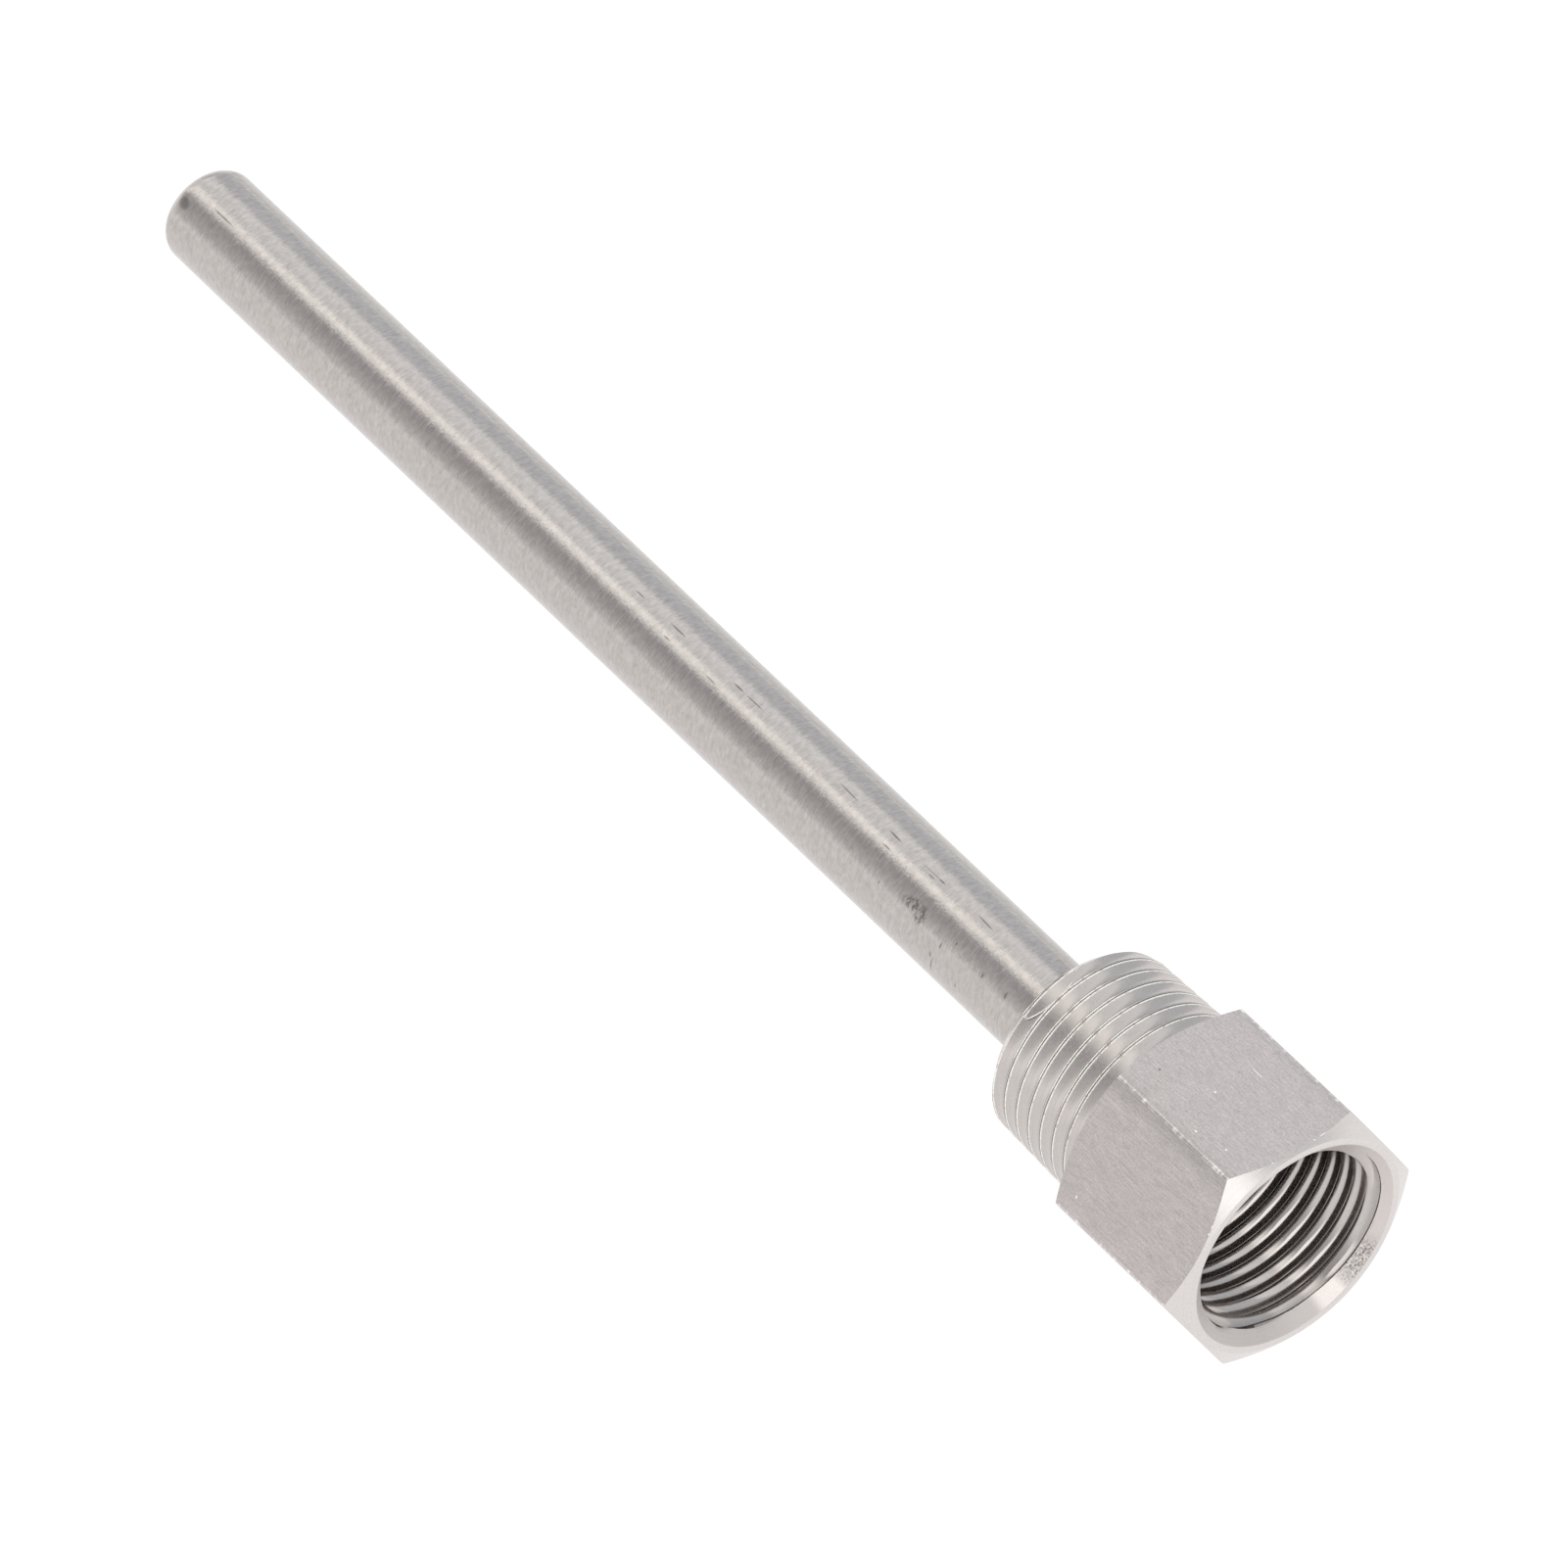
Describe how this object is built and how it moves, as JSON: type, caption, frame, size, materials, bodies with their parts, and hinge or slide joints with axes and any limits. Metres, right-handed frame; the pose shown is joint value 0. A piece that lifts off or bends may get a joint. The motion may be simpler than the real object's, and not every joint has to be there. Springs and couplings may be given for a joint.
{
  "type": "thermowell",
  "caption": "Slim closed protecting tube in a hexagonal fitting, with a taper thread outside and a threaded socket inside.",
  "frame": {"origin": "on the well's axis, in the plane of the hexagon's shoulder, where the insertion length starts", "axes": "+X along the axis out of the socket's mouth, so the closed tip points to -X; +Z out of one flat of the hexagon"},
  "size_m": [0.1681, 0.0278, 0.024],
  "materials": {
    "turned_steel": "satin",
    "satin_steel": "satin"
  },
  "bodies": {
    "root": {"hex_fitting": "turned_steel", "stem_tube": "satin_steel"}
  },
  "joints": []
}
